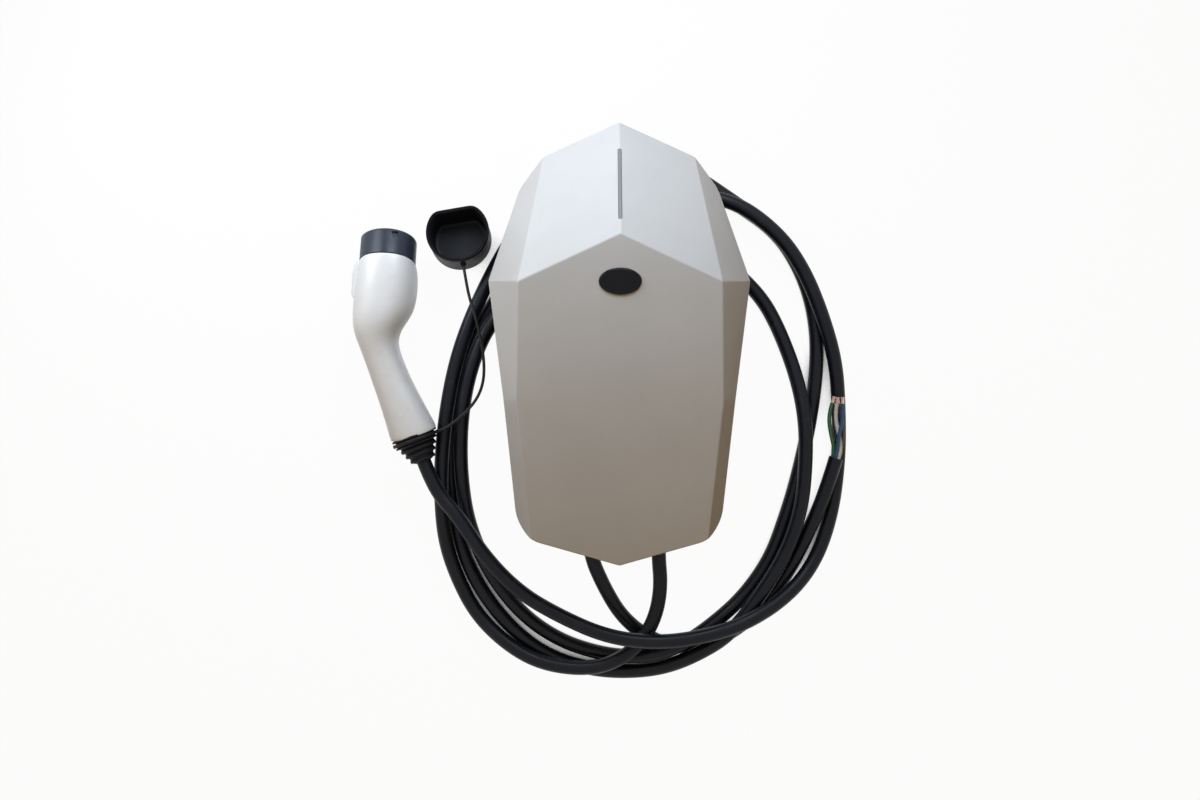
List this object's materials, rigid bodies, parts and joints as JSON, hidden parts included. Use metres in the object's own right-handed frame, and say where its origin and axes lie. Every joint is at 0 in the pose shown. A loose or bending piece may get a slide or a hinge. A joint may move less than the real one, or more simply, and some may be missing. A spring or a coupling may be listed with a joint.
{
  "type": "electric vehicle wall box",
  "caption": "Faceted wall charging box with a ridge light bar, wound charging cable with a plug connector, tethered dust cap and a supply cable with a stripped end",
  "frame": {"origin": "middle of the box, cables left out, on the surface its back lies on", "axes": "+Z comes out of the front cover, +Y runs to the unit's top, +X to the right seen from the front"},
  "size_m": [0.4998, 0.5502, 0.1498],
  "materials": {
    "white_plastic": "satin white moulded plastic",
    "smoke_plastic": "smoked translucent light bar",
    "badge_black": "glossy black domed badge",
    "dark_plastic": "matt black moulded plastic",
    "seal_rubber": "black foam rubber",
    "screw_steel": "zinc plated steel",
    "gland_plastic": "black polyamide",
    "circuit_board": "green lacquered circuit board",
    "relay_plastic": "black component housing",
    "terminal_plastic": "grey green terminal block",
    "capacitor_can": "aluminium can with a sleeve",
    "brass_pillar": "turned brass",
    "cable_rubber": "smooth black cable jacket",
    "core_green": "green core insulation",
    "core_grey": "pale grey core insulation",
    "core_blue": "dark blue core insulation",
    "core_brown": "brown core insulation",
    "core_black": "black core insulation",
    "copper": "bare stranded copper",
    "grip_plastic": "warm white moulded plastic",
    "connector_black": "finely textured black plastic",
    "contact_silver": "silver plated contact",
    "boot_rubber": "matt black elastomer",
    "strap_black": "thin black cord"
  },
  "bodies": {
    "root": {"front_cover": "white_plastic", "light_bar": "smoke_plastic", "light_board": "circuit_board", "oval_badge": "badge_black", "rear_housing": "dark_plastic", "housing_seal": "seal_rubber", "cover_screws": "screw_steel", "charge_gland_washer": "seal_rubber", "charge_gland_body": "gland_plastic", "charge_gland_seal": "seal_rubber", "charge_gland_nut": "gland_plastic", "charge_gland_locknut": "gland_plastic", "supply_gland_washer": "seal_rubber", "supply_gland_body": "gland_plastic", "supply_gland_seal": "seal_rubber", "supply_gland_nut": "gland_plastic", "supply_gland_locknut": "gland_plastic", "main_board": "circuit_board", "board_screws": "screw_steel", "power_relays": "relay_plastic", "charge_terminals": "terminal_plastic", "supply_terminals": "terminal_plastic", "current_sensor": "relay_plastic", "power_module": "relay_plastic", "capacitors": "capacitor_can", "control_board": "circuit_board", "control_pillars": "brass_pillar", "control_modules": "relay_plastic", "reader_board": "circuit_board", "charge_tail": "cable_rubber", "supply_tail": "cable_rubber", "charge_cable": "cable_rubber", "supply_cable": "cable_rubber", "core_green": "core_green", "core_grey": "core_grey", "core_blue": "core_blue", "core_brown": "core_brown", "core_black": "core_black", "bare_tips": "copper", "connector_shell": "grip_plastic", "connector_nose": "connector_black", "power_sleeves": "contact_silver", "signal_sleeves": "contact_silver", "bend_relief": "boot_rubber", "dust_cap": "boot_rubber", "cap_strap": "strap_black", "strap_ring": "boot_rubber"}
  },
  "joints": []
}
